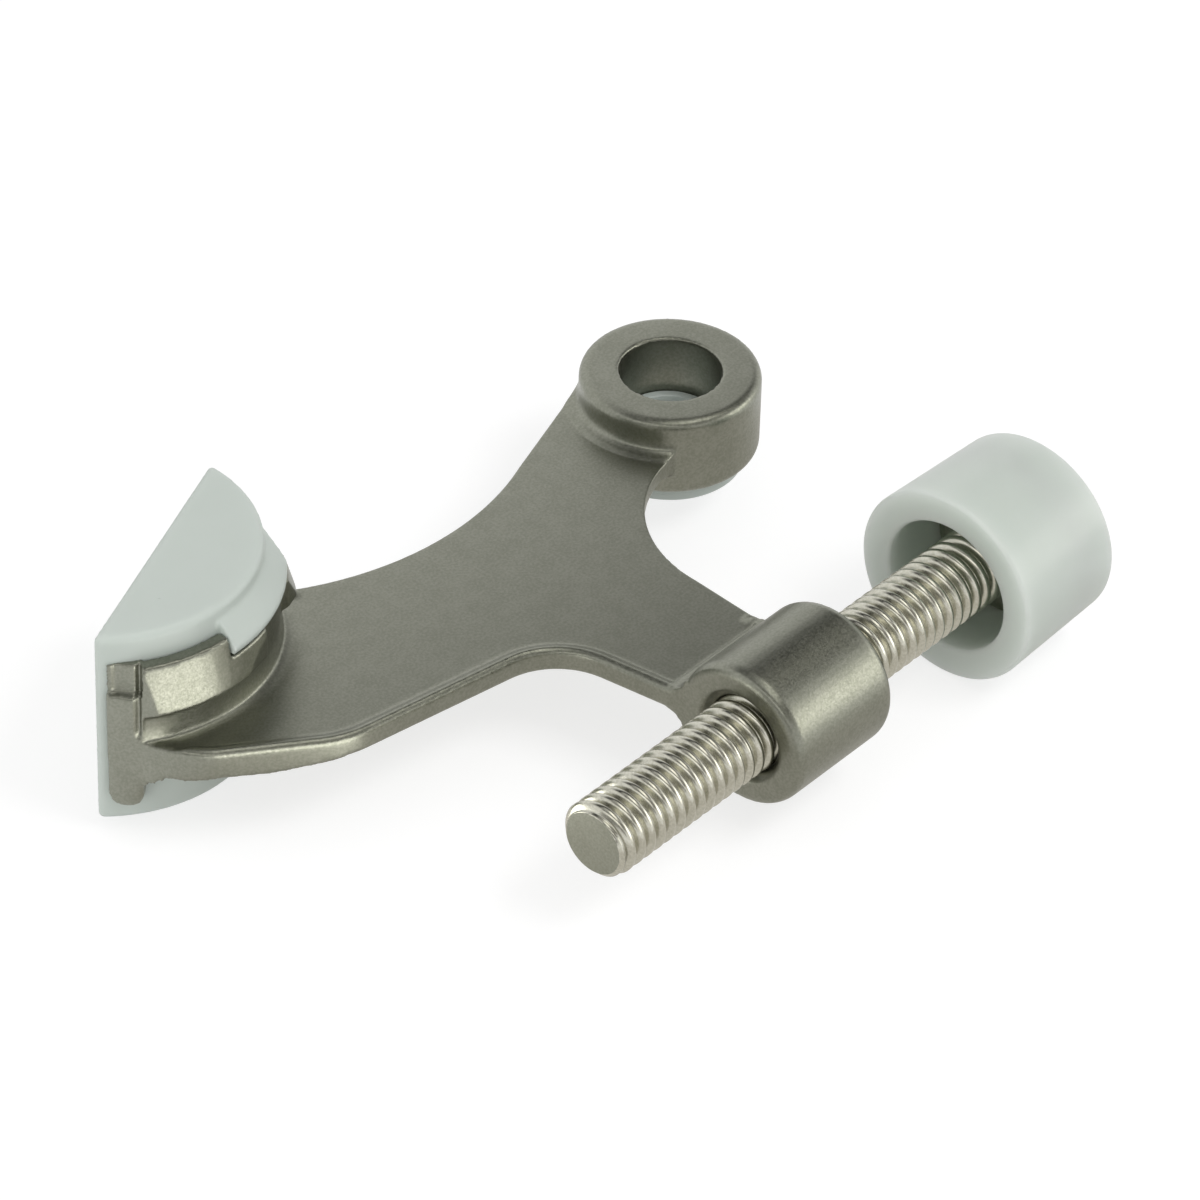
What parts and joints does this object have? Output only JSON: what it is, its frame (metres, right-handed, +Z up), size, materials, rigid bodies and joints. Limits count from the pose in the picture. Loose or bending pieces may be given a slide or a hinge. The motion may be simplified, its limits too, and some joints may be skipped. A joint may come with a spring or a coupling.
{
  "type": "hinge pin door stop",
  "caption": "Cast door stop with an eye for the hinge pin, an adjusting screw with a soft bumper cap and a soft pad on its arm.",
  "frame": {"origin": "on the hinge pin's axis, at the foot of the bushing where the stop sits on the hinge", "axes": "+Z up the hinge pin, +X along the adjusting screw towards its bumper cap, the screw on the -Y side"},
  "size_m": [0.0856, 0.0641, 0.0225],
  "materials": {
    "cast_nickel": "satin nickel plate on a zinc casting",
    "bushing_plastic": "white moulded plastic",
    "screw_nickel": "bright nickel plate on a steel screw",
    "cap_rubber": "white moulded rubber, slightly glossy",
    "pad_rubber": "white moulded rubber, slightly translucent"
  },
  "bodies": {
    "stop": {"cast_body": "cast_nickel", "pin_bushing": "bushing_plastic", "saddle_pad": "pad_rubber"},
    "bumper": {"bumper_cap": "cap_rubber"},
    "screw": {"adjusting_screw": "screw_nickel"}
  },
  "joints": [
    {"name": "bumper_travel", "type": "slide", "parent": "stop", "child": "bumper", "axis": [1, 0, 0], "range_m": [-0.01552, 0.01693]},
    {"name": "screw_turn", "type": "hinge", "parent": "bumper", "child": "screw", "pos_m": [0, -0.0383, 0.0062], "axis": [1, 0, 0], "range_deg": [-3965, 4325]}
  ],
  "couplings": [
    {"joint": "screw_turn", "follows": "bumper_travel", "rad_per_m": 4452.6}
  ]
}
